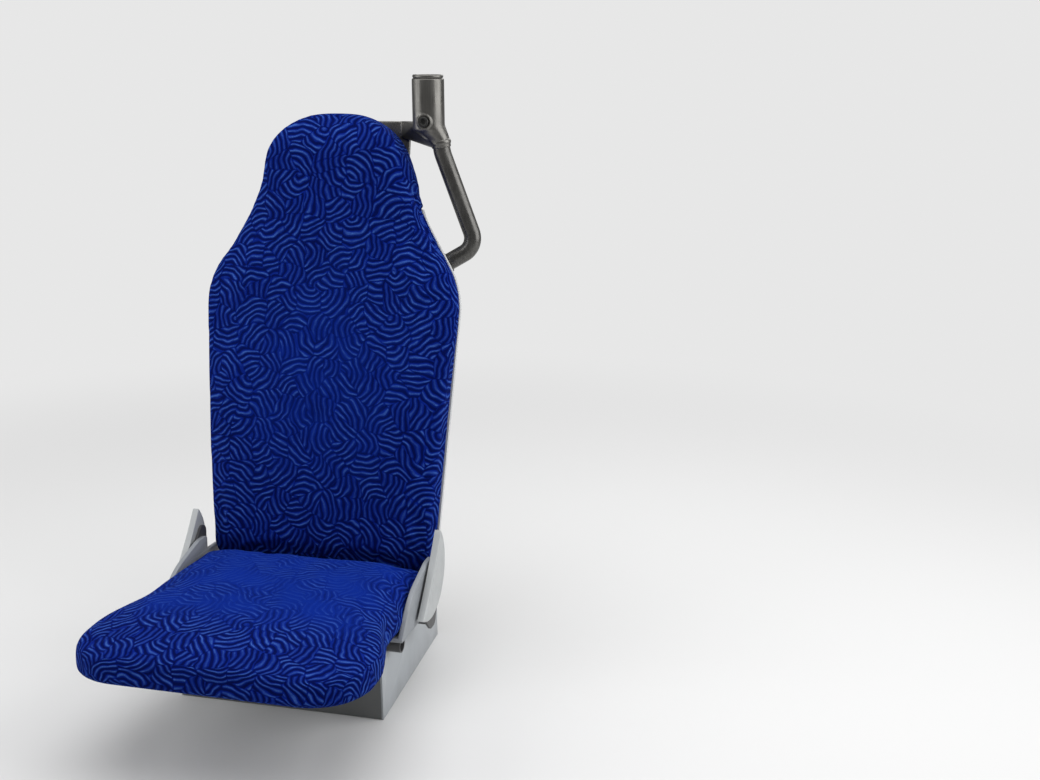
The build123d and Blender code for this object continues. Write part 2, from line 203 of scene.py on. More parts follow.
def swell(piece, caps, held):
    """Fills the piece as cloth under pressure. No point ends further from its start than its cap."""
    start = read_points(piece.data)
    group = piece.vertex_groups.new(name="held")
    group.add([int(i) for i in np.nonzero(held)[0]], 1.0, "REPLACE")
    cloth = piece.modifiers.new("fill", "CLOTH")
    cloth.settings.quality = 5
    cloth.settings.mass = 0.3
    cloth.settings.tension_stiffness = 20.0
    cloth.settings.compression_stiffness = 20.0
    cloth.settings.shear_stiffness = 8.0
    cloth.settings.bending_stiffness = 2.0
    cloth.settings.use_pressure = True
    cloth.settings.uniform_pressure_force = FILL_PRESSURE
    cloth.settings.effector_weights.gravity = 0.0
    cloth.settings.vertex_group_mass = "held"
    cloth.collision_settings.use_collision = False
    cloth.point_cache.frame_start = 1
    cloth.point_cache.frame_end = FILL_FRAMES
    for number in range(1, FILL_FRAMES + 1):
        scene.frame_set(number)
    graph = bpy.context.evaluated_depsgraph_get()
    moved = read_points(piece.evaluated_get(graph).data)
    piece.modifiers.clear()
    piece.vertex_groups.clear()
    scene.frame_set(1)
    shift = moved - start
    reach = np.linalg.norm(shift, axis=1)
    share = np.minimum(1.0, caps / np.maximum(reach, 1e-9))
    write_points(piece.data, start + shift * share[:, None])


def lay_weave(piece, axes, place):
    """Stores in the UV map named weave, in metres, what place gives for points and normals along the axes."""
    mesh = piece.data
    points = read_along(piece, axes)
    normals = read_normals(mesh) @ axes.T
    corners = np.empty(len(mesh.loops), np.int32)
    mesh.loops.foreach_get("vertex_index", corners)
    face_normals = np.empty(len(mesh.polygons) * 3, np.float32)
    mesh.polygons.foreach_get("normal", face_normals)
    face_normals = face_normals.reshape(-1, 3) @ axes.T
    sizes = np.empty(len(mesh.polygons), np.int32)
    mesh.polygons.foreach_get("loop_total", sizes)
    per_corner = np.repeat(np.arange(len(sizes)), sizes)
    flat = place(points[corners], normals[corners], face_normals[per_corner])
    layer = mesh.uv_layers.new(name="weave")
    layer.data.foreach_set("uv", np.asarray(flat, np.float32).ravel())


def lay_wear(piece, values):
    """Stores how much the pile is flattened, 0 to 1, on the vertices."""
    layer = piece.data.attributes.new("wear", "FLOAT", "POINT")
    layer.data.foreach_set("value", np.asarray(values, np.float32))


# Material helpers


def begin(name):
    """New material with one Principled shader."""
    material = bpy.data.materials.new(name)
    material.use_nodes = True
    tree = material.node_tree
    tree.nodes.clear()
    output = tree.nodes.new("ShaderNodeOutputMaterial")
    shader = tree.nodes.new("ShaderNodeBsdfPrincipled")
    tree.links.new(shader.outputs["BSDF"], output.inputs["Surface"])
    return material, tree, shader


def put(tree, kind, inputs=None, **settings):
    """Adds a node; inputs are values or sockets by name or number."""
    added = tree.nodes.new(kind)
    for key, value in settings.items():
        setattr(added, key, value)
    for key, value in (inputs or {}).items():
        if isinstance(value, bpy.types.NodeSocket):
            tree.links.new(value, added.inputs[key])
        else:
            added.inputs[key].default_value = value
    return added


def maths(tree, operation, *values):
    """Result socket of a Math node."""
    inputs = dict(enumerate(values))
    return put(tree, "ShaderNodeMath", inputs, operation=operation).outputs[0]


def ramp(tree, value, low, high, out_low=0.0, out_high=1.0):
    """Smoothly remapped value."""
    made = put(tree, "ShaderNodeMapRange", {"Value": value, "From Min": low, "From Max": high,
                                            "To Min": out_low, "To Max": out_high})
    made.interpolation_type = "SMOOTHSTEP"
    return made.outputs["Result"]


def blend_color(tree, share, first, second):
    """Colour mixed from first to second."""
    made = put(tree, "ShaderNodeMix", {}, data_type="RGBA")
    for key, value in ((0, share), (6, first), (7, second)):
        if isinstance(value, bpy.types.NodeSocket):
            tree.links.new(value, made.inputs[key])
        else:
            made.inputs[key].default_value = value
    return made.outputs[2]


def clouds(tree, vector, scale, detail=2.0, roughness=0.5):
    """Noise factor."""
    inputs = {"Vector": vector, "Scale": scale, "Detail": detail, "Roughness": roughness}
    return put(tree, "ShaderNodeTexNoise", inputs).outputs[0]


def stretched(tree, vector, scale):
    """Coordinates scaled by three factors."""
    return put(tree, "ShaderNodeMapping", {"Vector": vector, "Scale": scale}).outputs[0]


def place_of(tree):
    """Object coordinates, which are metres in the seat's frame."""
    return put(tree, "ShaderNodeTexCoord").outputs["Object"]


def bump(tree, shader, height, distance, strength=1.0):
    """Bump from a height in 0 to 1."""
    made = put(tree, "ShaderNodeBump", {"Height": height, "Distance": distance, "Strength": strength})
    tree.links.new(made.outputs[0], shader.inputs["Normal"])


def rgba(r, g, b):
    """Opaque colour."""
    return (r, g, b, 1.0)


def tone(base, factor):
    """The colour made lighter or darker by a factor."""
    return rgba(*(min(1.0, value * factor) for value in base))


RIB_PITCH = 0.0098
RIB_RISE = 0.0014
CELL_SCALE = 26.0
DRIFT_SCALE = 34.0
DRIFT_REACH = 0.016
HUB_NEAR = 0.028
HUB_FAR = 0.056
FLATTENED = 0.66
# The dark lines in the grooves between the ribs are painted shade.
GROOVE_SHADE_BLUE = rgba(0.0005, 0.0028, 0.053)
BODY_BLUE = rgba(0.0020, 0.0130, 0.180)
# The light crest lines are partly lighter pile tips, partly a painted highlight.
CREST_TIP_AND_HIGHLIGHT_BLUE = rgba(0.0420, 0.1130, 0.405)
WORN_BLUE = rgba(0.0034, 0.0270, 0.265)
PILE_BLUE = rgba(0.0010, 0.0070, 0.105)
SHEEN_BLUE = rgba(0.10, 0.27, 1.0)


def moquette():
    """Cut-pile cloth: raised ribs in nested arcs that meet at their sides, flattened where it is sat on."""
    material, tree, shader = begin("moquette")
    flat = put(tree, "ShaderNodeUVMap", uv_map="weave").outputs["UV"]
    drift = put(tree, "ShaderNodeTexNoise", {"Vector": flat, "Scale": DRIFT_SCALE, "Detail": 1.0})
    centred = put(tree, "ShaderNodeVectorMath", {0: drift.outputs["Color"], 1: (0.5, 0.5, 0.5)},
                  operation="SUBTRACT")
    small = put(tree, "ShaderNodeVectorMath", {0: centred.outputs[0], "Scale": DRIFT_REACH},
                operation="SCALE")
    warped = put(tree, "ShaderNodeVectorMath", {0: flat, 1: small.outputs[0]}, operation="ADD").outputs[0]
    cells = put(tree, "ShaderNodeTexVoronoi", {"Vector": warped, "Scale": CELL_SCALE, "Randomness": 0.95},
                voronoi_dimensions="2D")
    borders = put(tree, "ShaderNodeTexVoronoi", {"Vector": warped, "Scale": CELL_SCALE, "Randomness": 0.95},
                  voronoi_dimensions="2D", feature="DISTANCE_TO_EDGE")
    ends = ramp(tree, borders.outputs["Distance"], 0.0, 0.06, 0.50, 1.0)
    chance = put(tree, "ShaderNodeSeparateColor", {0: cells.outputs["Color"]})
    turn = maths(tree, "MULTIPLY", chance.outputs[0], 2 * math.pi)
    shift = ramp(tree, chance.outputs[1], 0.0, 1.0, HUB_NEAR, HUB_FAR)
    hub = put(tree, "ShaderNodeCombineXYZ", {0: maths(tree, "MULTIPLY", maths(tree, "COSINE", turn), shift),
                                             1: maths(tree, "MULTIPLY", maths(tree, "SINE", turn), shift)})
    hub = put(tree, "ShaderNodeVectorMath", {0: cells.outputs["Position"], 1: hub.outputs[0]},
              operation="ADD")
    arm = put(tree, "ShaderNodeVectorMath", {0: warped, 1: hub.outputs[0]}, operation="SUBTRACT").outputs[0]
    radius = put(tree, "ShaderNodeVectorMath", {0: arm}, operation="LENGTH").outputs["Value"]
    heading = put(tree, "ShaderNodeVectorMath", {0: arm}, operation="NORMALIZE").outputs[0]
    # Crests of ribs that run sideways are made lighter and those that run up and down darker: partly the
    # downward nap of the pile, partly painted light from above.
    upward = put(tree, "ShaderNodeSeparateXYZ", {0: heading}).outputs["Y"]
    nap_and_painted_top_light = ramp(tree, maths(tree, "ABSOLUTE", upward), 0.15, 0.85, 0.36, 1.0)
    wave = maths(tree, "SINE", maths(tree, "MULTIPLY", radius, 2 * math.pi / RIB_PITCH))
    round_rib = maths(tree, "MULTIPLY_ADD", wave, 0.5, 0.5)
    crest = maths(tree, "MULTIPLY", maths(tree, "POWER", round_rib, 1.6), ends)
    pile = clouds(tree, flat, 1100.0, 1.0)
    tufts = clouds(tree, flat, 420.0, 2.0, 0.6)
    nap = clouds(tree, flat, 11.0, 2.0)
    worn = put(tree, "ShaderNodeAttribute", attribute_name="wear").outputs["Fac"]
    patches = ramp(tree, clouds(tree, flat, 16.0, 2.0), 0.30, 0.70, 0.55, 1.25)
    worn = maths(tree, "MULTIPLY", worn, patches)
    flatten = maths(tree, "MULTIPLY", worn, FLATTENED)
    depth = maths(tree, "SUBTRACT", 1.0, flatten)
    ribs = maths(tree, "ADD", maths(tree, "MULTIPLY", crest, depth), maths(tree, "MULTIPLY", worn, 0.30))
    lift = maths(tree, "ADD", ribs, maths(tree, "MULTIPLY", tufts, 0.32))
    grainy = ramp(tree, tufts, 0.28, 0.72, 0.55, 1.0)
    fade = ramp(tree, clouds(tree, flat, 62.0, 2.0), 0.32, 0.66, 0.42, 1.0)
    body = maths(tree, "MULTIPLY", ramp(tree, ribs, 0.02, 0.32), ramp(tree, nap, 0.3, 0.7, 0.80, 1.0))
    tip = maths(tree, "MULTIPLY", maths(tree, "MULTIPLY", ramp(tree, ribs, 0.50, 1.0), grainy), fade)
    # Painted light from above, with the nap, on the crests of sideways ribs.
    tip = maths(tree, "MULTIPLY", tip, nap_and_painted_top_light)
    # The grooves between the ribs take painted shade.
    color = blend_color(tree, body, GROOVE_SHADE_BLUE, BODY_BLUE)
    # The crests take lighter pile tips and a painted highlight.
    color = blend_color(tree, tip, color, CREST_TIP_AND_HIGHLIGHT_BLUE)
    color = blend_color(tree, maths(tree, "MULTIPLY", worn, 0.45), color, WORN_BLUE)
    color = blend_color(tree, maths(tree, "MULTIPLY", pile, 0.22), color, PILE_BLUE)
    tree.links.new(color, shader.inputs["Base Color"])
    shader.inputs["Roughness"].default_value = 0.94
    shader.inputs["Specular IOR Level"].default_value = 0.03
    shader.inputs["Sheen Weight"].default_value = 0.12
    shader.inputs["Sheen Roughness"].default_value = 0.30
    shader.inputs["Sheen Tint"].default_value = SHEEN_BLUE
    bump(tree, shader, lift, RIB_RISE)
    return material


PLASTIC_GRAIN = 0.00012
PLASTIC_SCUFF = 0.16


def moulded(name, base, roughness):
    """Moulded plastic with a fine grain, faint clouds and scuffs."""
    material, tree, shader = begin(name)
    place = place_of(tree)
    cloudy = clouds(tree, place, 7.0, 3.0)
    speck = clouds(tree, place, 1400.0, 1.0)
    rubs = clouds(tree, stretched(tree, place, (34.0, 34.0, 20.0)), 1.0, 5.0, 0.65)
    color = blend_color(tree, ramp(tree, cloudy, 0.3, 0.7), tone(base, 0.92), tone(base, 1.05))
    scuffs = maths(tree, "MULTIPLY", ramp(tree, rubs, 0.58, 0.78), PLASTIC_SCUFF)
    color = blend_color(tree, scuffs, color, tone(base, 0.62))
    tree.links.new(color, shader.inputs["Base Color"])
    rough = ramp(tree, rubs, 0.35, 0.75, roughness - 0.06, roughness + 0.14)
    tree.links.new(rough, shader.inputs["Roughness"])
    shader.inputs["Specular IOR Level"].default_value = 0.45
    bump(tree, shader, speck, PLASTIC_GRAIN, 0.6)
    return material


SOIL_COLOR = rgba(0.11, 0.105, 0.095)
NICK_COLOR = rgba(0.05, 0.05, 0.05)
SOIL_HEIGHT = 0.07


def painted(name, base, roughness, dust=0.22):
    """Powder-coated steel with orange peel, and dust and scuffs towards the floor."""
    material, tree, shader = begin(name)
    place = place_of(tree)
    peel = clouds(tree, place, 420.0, 2.0)
    cloudy = clouds(tree, place, 6.0, 3.0)
    streaks = clouds(tree, stretched(tree, place, (22.0, 22.0, 9.0)), 1.0, 4.0, 0.6)
    height = put(tree, "ShaderNodeSeparateXYZ", {0: place}).outputs["Z"]
    low = ramp(tree, height, 0.0, SOIL_HEIGHT, 1.0, 0.0)
    color = blend_color(tree, ramp(tree, cloudy, 0.3, 0.7), tone(base, 0.95), tone(base, 1.04))
    soil = maths(tree, "MULTIPLY", maths(tree, "MULTIPLY", low, ramp(tree, streaks, 0.35, 0.7)), dust)
    color = blend_color(tree, soil, color, SOIL_COLOR)
    chips = ramp(tree, clouds(tree, place, 160.0, 3.0, 0.7), 0.70, 0.76)
    nicks = maths(tree, "MULTIPLY", chips, maths(tree, "MULTIPLY", low, 0.6))
    color = blend_color(tree, nicks, color, NICK_COLOR)
    tree.links.new(color, shader.inputs["Base Color"])
    rough = ramp(tree, streaks, 0.3, 0.7, roughness - 0.03, roughness + 0.07)
    tree.links.new(rough, shader.inputs["Roughness"])
    bump(tree, shader, peel, 0.00025, 0.5)
    return material


def metal(name, base, roughness, metallic, streak=(900.0, 900.0, 12.0), grain=0.00008):
    """Satin metal with fine drawn streaks and a cloudy roughness."""
    material, tree, shader = begin(name)
    place = place_of(tree)
    lines = clouds(tree, stretched(tree, place, streak), 1.0, 3.0, 0.6)
    cloudy = clouds(tree, place, 30.0, 3.0)
    color = blend_color(tree, ramp(tree, lines, 0.3, 0.7), tone(base, 0.82), tone(base, 1.12))
    tree.links.new(color, shader.inputs["Base Color"])
    shader.inputs["Metallic"].default_value = metallic
    rough = ramp(tree, cloudy, 0.3, 0.7, roughness - 0.06, roughness + 0.08)
    tree.links.new(rough, shader.inputs["Roughness"])
    bump(tree, shader, lines, grain, 0.4)
    return material


def rubbery(name, base):
    """Black moulded rubber."""
    material, tree, shader = begin(name)
    place = place_of(tree)
    speck = clouds(tree, place, 700.0, 2.0)
    color = blend_color(tree, clouds(tree, place, 60.0, 3.0), tone(base, 0.8), tone(base, 1.3))
    tree.links.new(color, shader.inputs["Base Color"])
    shader.inputs["Roughness"].default_value = 0.62
    bump(tree, shader, speck, 0.00015, 0.6)
    return material


materials = {
    "moquette": moquette(),
    "shell_board": moulded("shell_board", (0.50, 0.51, 0.52), 0.45),
    "rear_plastic": moulded("rear_plastic", (0.26, 0.27, 0.275), 0.48),
    "pan_plastic": moulded("pan_plastic", (0.235, 0.250, 0.270), 0.46),
    "cover_plastic": moulded("cover_plastic", (0.37, 0.385, 0.39), 0.42),
    "black_steel": painted("black_steel", (0.055, 0.055, 0.057), 0.45, 0.2),
    "plinth_paint": painted("plinth_paint", (0.33, 0.35, 0.37), 0.4),
    # The front sheet's paint is a darker copy of the cheeks' grey: painted shade, for the front that stands
    # in the cushion's shadow.
    "plinth_sheet_paint": painted("plinth_sheet_paint", (0.11, 0.115, 0.115), 0.42),
    "socket_casting": metal("socket_casting", (0.145, 0.141, 0.132), 0.32, 0.85),
    "screw_steel": metal("screw_steel", (0.035, 0.035, 0.034), 0.42, 0.7),
    "handle_coating": metal("handle_coating", (0.100, 0.098, 0.093), 0.29, 0.80, (300.0, 300.0, 60.0),
                            0.00005),
    "handle_rubber": rubbery("handle_rubber", (0.018, 0.018, 0.018)),
}
slots = {part["node"]: part["material_slot"] for part in frame["record"]["subparts"]}


def dress(piece, slot, node=None):
    """The piece takes that slot's finish, rides on the seat and stands for the node."""
    piece.data.materials.clear()
    piece.data.materials.append(materials[slot])
    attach(piece, "root")
    if node:
        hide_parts(node)


for node_name, node_object in nodes.items():
    node_object.data.materials.clear()
    node_object.data.materials.append(materials[slots[node_name]])


# Moulded and folded pieces: copies of their solids with rounded edges

SOFT_EDGES = (
    ("hip_cover_left", 0.0028), ("hip_cover_right", 0.0028), ("cushion_pan", 0.0022),
    ("plinth_cheek_left", 0.0012), ("plinth_cheek_right", 0.0012),
)


def copy_solid(node, name):
    """New piece from a copy of a solid's mesh."""
    return link(name, nodes[node].data.copy())


def soften(node, width):
    """Copy of a solid whose sharp edges are rounded; it stands for the solid."""
    piece = copy_solid(node, node + "_moulded")
    shape = bmesh.new()
    shape.from_mesh(piece.data)
    bmesh.ops.remove_doubles(shape, verts=shape.verts, dist=0.00002)
    bmesh.ops.dissolve_limit(shape, angle_limit=math.radians(0.6), verts=shape.verts, edges=shape.edges)
    shape.to_mesh(piece.data)
    shape.free()
    bevel = piece.modifiers.new("rounded", "BEVEL")
    bevel.width = width
    bevel.segments = 3
    bevel.limit_method = "ANGLE"
    bevel.angle_limit = math.radians(38.0)
    bevel.harden_normals = True
    settle(piece)
    shade_smooth(piece)
    piece.data.set_sharp_from_angle(angle=math.radians(32.0))
    dress(piece, slots[node], node)


for node, width in SOFT_EDGES:
    soften(node, width)


# Back pad: the solid's form, filled out as cloth over foam

WRAP_BOTTOM = 0.597
PAD_DEPTH = 0.042
BACK_HALF = 0.23
BACK_VOXEL = 0.0060
SWELL_RIM = 0.002
SWELL_MIDDLE = 0.007
BACK_FADE = 0.05
DIMPLE_HEIGHT = 0.235
DIMPLE_RADIUS = 0.016
DIMPLE_DEPTH = 0.004
DIMPLE_LAYER = 0.02
HEM_TALL = 0.06
HEM_TUCK = 0.0038
HEM_LAYER = 0.014
HEM_SIDES = (0.05, 0.10)
FULLER_FROM = (0.26, 0.42)
FULLER_TO = (0.585, 0.625)
FULLER_BY = 0.0032
BACK_WEAR = 0.35
WEAR_HEIGHT = 0.30
WEAR_HALF = 0.15
WEAR_TALL = 0.20
WEAR_LAYER = 0.03
WRAP_CLOTH = 0.4


def unroll(points, normals, drop, facing, roll=0.016):
    """Place in the flat cloth of points that lie a drop below its face, round a rim of about that roll."""
    steep = np.linalg.norm(normals[:, :2], axis=1)
    outward = normals[:, :2] / np.maximum(steep, 1e-6)[:, None]
    travel = np.where(facing > 0.0, steep * drop, drop + 2.0 * roll * (1.0 - steep))
    return points[:, :2] + outward * travel[:, None]


def pad_weave(points, normals, faces):
    """Cloth laid flat on the front, carried round the edges, and cut anew for the wrap at the rear."""
    flat = unroll(points, normals, np.maximum(0.0, points[:, 2] - 0.006), -normals[:, 2])
    rear = (faces[:, 2] > 0.6) & (points[:, 2] > PAD_DEPTH + 0.01)
    flat[rear] = np.stack([-points[rear, 0], points[rear, 1] + WRAP_CLOTH], 1)
    return flat


back_cover = copy_solid("back_pad", "back_cover")
remesh(back_cover, BACK_VOXEL)
relax(back_cover, 7)
points = read_along(back_cover, BACK_AXES)
behind = (points[:, 2] > PAD_DEPTH - 0.006) & (points[:, 1] < WRAP_BOTTOM + 0.01)
room = SWELL_MIDDLE * smooth_step(0.0, BACK_FADE, BACK_HALF - np.abs(points[:, 0])) + SWELL_RIM
swell(back_cover, room, behind)

# A dimple in the front, a tuck along the wrap's hem, and fuller shoulders
points = read_along(back_cover, BACK_AXES)
from_dimple = points[:, 0] ** 2 + (points[:, 1] - DIMPLE_HEIGHT) ** 2
points[:, 2] += DIMPLE_DEPTH * np.exp(-(from_dimple / DIMPLE_RADIUS ** 2)) * (points[:, 2] < DIMPLE_LAYER)
hem = 1.0 - smooth_step(WRAP_BOTTOM, WRAP_BOTTOM + HEM_TALL, points[:, 1])
sides = smooth_step(*HEM_SIDES, np.abs(points[:, 0]))
hem *= smooth_step(PAD_DEPTH - HEM_LAYER, PAD_DEPTH, points[:, 2]) * sides
points[:, 0] -= np.sign(points[:, 0]) * HEM_TUCK * hem
normals = read_normals(back_cover.data) @ BACK_AXES.T
shoulder_share = smooth_step(*FULLER_FROM, points[:, 1]) * (1.0 - smooth_step(*FULLER_TO, points[:, 1]))
fuller = FULLER_BY * shoulder_share * np.linalg.norm(normals[:, :2], axis=1) ** 2
points[:, :2] += normals[:, :2] * fuller[:, None]
write_points(back_cover.data, points @ BACK_AXES + np.array(FOLD))
subdivide(back_cover)
shade_smooth(back_cover)
lay_weave(back_cover, BACK_AXES, pad_weave)
points = read_along(back_cover, BACK_AXES)
from_wear = (points[:, 0] / WEAR_HALF) ** 2 + ((points[:, 1] - WEAR_HEIGHT) / WEAR_TALL) ** 2
rubbed = np.exp(-from_wear) * (points[:, 2] < WEAR_LAYER)
lay_wear(back_cover, BACK_WEAR * rubbed)
dress(back_cover, "moquette", "back_pad")

# Cushion: the same, with a swell that fades towards all its rims

CUSHION_HALF = 0.229
CUSHION_FRONT = 0.437
CUSHION_VOXEL = 0.0055
SIDE_FADE = 0.09
FRONT_FADE = 0.13
CUSHION_WEAR = 0.72
TOP_CLOTH = 0.7
UNDER_CLOTH = 2.0


def cushion_weave(points, normals, faces):
    """Cloth laid flat on the top and carried down the front and the sides."""
    flat = unroll(points, normals, np.maximum(0.0, -0.004 - points[:, 2]), normals[:, 2])
    flat[:, 1] -= TOP_CLOTH
    below = faces[:, 2] < -0.7
    flat[below] = np.stack([points[below, 0], points[below, 1] - UNDER_CLOTH], 1)
    return flat


cushion_cover = copy_solid("seat_cushion", "cushion_cover")
remesh(cushion_cover, CUSHION_VOXEL)
relax(cushion_cover, 9)
points = read_along(cushion_cover, SEAT_AXES)
under = points[:, 2] < -0.052
inward = smooth_step(0.0, SIDE_FADE, CUSHION_HALF - np.abs(points[:, 0]))
inward = inward * smooth_step(-0.02, 0.05, points[:, 1])
to_front = smooth_step(0.0, FRONT_FADE, CUSHION_FRONT - points[:, 1])
inward *= to_front * smooth_step(-0.05, -0.005, points[:, 2])
swell(cushion_cover, SWELL_RIM + SWELL_MIDDLE * inward, under)
subdivide(cushion_cover)
shade_smooth(cushion_cover)
lay_weave(cushion_cover, SEAT_AXES, cushion_weave)
points = read_along(cushion_cover, SEAT_AXES)
rubbed = smooth_step(0.0, 0.09, 0.22 - np.abs(points[:, 0])) * smooth_step(0.0, 0.10, 0.36 - points[:, 1])
lay_wear(cushion_cover, CUSHION_WEAR * rubbed * (points[:, 2] > -0.02))
dress(cushion_cover, "moquette", "seat_cushion")

# Stanchion socket: a cast cup with its arm, a turned mouth ring and a clamp screw


def hull(name, corners):
    """Convex piece round the corners."""
    shape = bmesh.new()
    for corner in corners:
        shape.verts.new(corner)
    result = bmesh.ops.convex_hull(shape, input=shape.verts)
    spare = [item for item in result["geom_interior"] if isinstance(item, bmesh.types.BMVert)]
    bmesh.ops.delete(shape, geom=spare, context="VERTS")
    mesh = bpy.data.meshes.new(name)
    shape.to_mesh(mesh)
    shape.free()
    return link(name, mesh)


def join(piece, others):
    """Adds the others' meshes to the piece's."""
    whole = bmesh.new()
    whole.from_mesh(piece.data)
    for other in others:
        whole.from_mesh(other.data)
        bpy.data.objects.remove(other)
    whole.to_mesh(piece.data)
    whole.free()
    return piece


def on_back(x, height, depth):
    """Point of the seat by its place on the back."""
    return FOLD + ACROSS * x + BACK_UP * height + BACK_REAR * depth


def tilted_ring(centre, axis, radius, steps=32):
    """Points of a circle round the axis."""
    axis = Vector(axis).normalized()
    side = axis.orthogonal().normalized()
    other = axis.cross(side)
    angles = [2 * math.pi * step / steps for step in range(steps)]
    return [Vector(centre) + (side * math.cos(a) + other * math.sin(a)) * radius for a in angles]


UPRIGHT = Vector((0.0, 0.0, 1.0))
SCREW_FACING = Vector((0.0, -1.0, 0.0))
cup_low, cup_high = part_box("stanchion_socket")
collar_low, collar_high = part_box("handle_collar")
ring_low, ring_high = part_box("socket_ring")
screw_low, screw_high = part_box("socket_screw")
mouth_centre = (ring_low + ring_high) / 2
ring_base = Vector((mouth_centre.x, mouth_centre.y, ring_low.z))
cup_foot = Vector((mouth_centre.x, mouth_centre.y, collar_high.z))
collar_centre = (collar_low + collar_high) / 2
neck_top = Vector((collar_centre.x, collar_centre.y, collar_high.z))
NECK_WAY = Vector((5.0, 0.0, -32.0)).normalized()
NECK_LENGTH = 0.022
CUP_RADIUS = 0.0268
CUP_TALL = ring_low.z - cup_foot.z
BORE_RADIUS = 0.0176
BORE_FLOOR = 0.014
ARM_FRONT = 0.0768
ARM_REAR = 0.0845
ARM_INNER = 0.042
ARM_OUTER = 0.112
ROOT_INNER = 0.096
ROOT_HEIGHTS = (0.722, 0.749)
PLATE_HEIGHTS = (0.684, 0.742)
PLATE_CORNER = 0.010
BAR_HEIGHTS = (0.727, 0.749)
BAR_CORNER = 0.006


def arm_block(name, low, high, corner):
    """Flat block behind the head, between two heights of the back, with rounded corners."""
    middles = [on_back(x, height, depth) for x in (ARM_INNER + corner, ARM_OUTER - corner)
               for height in (low + corner, high - corner) for depth in (ARM_FRONT, ARM_REAR)]
    return hull(name, [point for middle in middles for point in tilted_ring(middle, BACK_REAR, corner, 24)])


cup = spin("socket_cup", [
    (0.0250, 0.004), (CUP_RADIUS, 0.006), (CUP_RADIUS, CUP_TALL - 0.0008), (0.0260, CUP_TALL),
    (0.0180, CUP_TALL), (BORE_RADIUS, CUP_TALL - 0.0006), (BORE_RADIUS, BORE_FLOOR), (0.0005, BORE_FLOOR),
], cup_foot, UPRIGHT, 96)
arm_root = [on_back(x, height, depth) for x in (ROOT_INNER, ARM_OUTER)
            for height in ROOT_HEIGHTS for depth in (ARM_FRONT, ARM_REAR)]
web = hull("web", arm_root + tilted_ring(cup_foot + UPRIGHT * BORE_FLOOR, UPRIGHT, 0.0235)
           + tilted_ring(neck_top + NECK_WAY * NECK_LENGTH, NECK_WAY, 0.0150))
shoulder = hull("shoulder", tilted_ring(cup_foot + UPRIGHT * BORE_FLOOR, UPRIGHT, CUP_RADIUS)
                + tilted_ring(cup_foot + UPRIGHT * 0.005, UPRIGHT, 0.0256)
                + tilted_ring(neck_top + NECK_WAY * 0.013, NECK_WAY, 0.0164))
rim_middle = Vector(((screw_low.x + screw_high.x) / 2, screw_high.y, (screw_low.z + screw_high.z) / 2))
screw_rim = spin("screw_rim", [
    (0.0098, -0.006), (0.0124, -0.006), (0.0121, 0.0004),
    (0.0116, 0.0010), (0.0104, 0.0010), (0.0098, 0.0004),
], rim_middle, SCREW_FACING, 48, hollow=True)
plate = arm_block("plate", *PLATE_HEIGHTS, PLATE_CORNER)
bar = arm_block("bar", *BAR_HEIGHTS, BAR_CORNER)
join(cup, [web, shoulder, screw_rim, plate, bar])
remesh(cup, 0.0014)
relax(cup, 7)
shade_smooth(cup)
dress(cup, "socket_casting", "stanchion_socket")

neck = spin("neck_bead", [
    (0.0148, 0.010), (0.0160, 0.010), (0.0166, 0.0120), (0.0172, 0.0132),
    (0.0174, 0.0150), (0.0172, 0.0168), (0.0164, 0.0182), (0.0160, 0.0190),
    (0.0160, 0.0222), (0.0156, 0.0234), (0.0150, 0.0238), (0.0147, 0.0234),
], neck_top, NECK_WAY, 72, hollow=True)
dress(neck, "socket_casting", "handle_collar")

ring_tall = ring_high.z - ring_low.z
mouth = spin("socket_mouth", [
    (BORE_RADIUS, 0.0), (0.0244, 0.0), (0.0246, 0.0010), (0.0254, 0.0018), (0.0255, 0.0026),
    (0.0255, ring_tall - 0.0016), (0.0250, ring_tall - 0.0005), (0.0240, ring_tall),
    (0.0200, ring_tall), (0.0186, ring_tall - 0.0010), (BORE_RADIUS, ring_tall - 0.0030),
], ring_base, UPRIGHT, 96, hollow=True)
dress(mouth, "socket_casting", "socket_ring")

screw = spin("clamp_screw", [
    (0.0084, 0.0), (0.0084, 0.0034), (0.0080, 0.0044), (0.0072, 0.0050), (0.0058, 0.0050), (-0.0042, 0.0046),
    (-0.0040, 0.0012), (-0.0005, 0.0006),
], rim_middle, SCREW_FACING, 72)
dress(screw, "screw_steel", "socket_screw")

# Button-head screws that hold the arm, and plugs over the fixings of the rear panel

BUTTON_RINGS = [
    (0.0066, -0.001), (0.0066, 0.0012), (0.0060, 0.0026), (0.0044, 0.0036),
    (-0.0025, 0.0036), (-0.0023, 0.0016), (-0.0003, 0.0014),
]
BUTTON_HEIGHT = 0.700
BUTTON_PLACES = (0.060, 0.094)
arm_screws = [spin("arm_screw", BUTTON_RINGS, on_back(x, BUTTON_HEIGHT, ARM_REAR), BACK_REAR, 48)
              for x in BUTTON_PLACES]
dress(join(arm_screws[0], arm_screws[1:]), "screw_steel")

PLUG_RINGS = [
    (0.0088, -0.003), (0.0088, 0.0004), (0.0082, 0.0011), (0.0066, 0.0015),
    (0.0062, 0.0011), (0.0058, 0.0015), (0.0030, 0.0019), (0.0002, 0.0020),
]
PLUG_PLACES = ((-0.150, 0.080), (0.150, 0.080), (-0.165, 0.420), (0.165, 0.420))
BEHIND_PANEL = 0.200
plugs = []
for x, height in PLUG_PLACES:
    _, seat, facing, _ = nodes["rear_panel"].ray_cast(on_back(x, height, BEHIND_PANEL), -BACK_REAR)
    plugs.append(spin("panel_plugs", PLUG_RINGS, seat, facing, 48))
dress(join(plugs[0], plugs[1:]), "rear_plastic")

# Studio: pale floor, pale surround and soft lamps

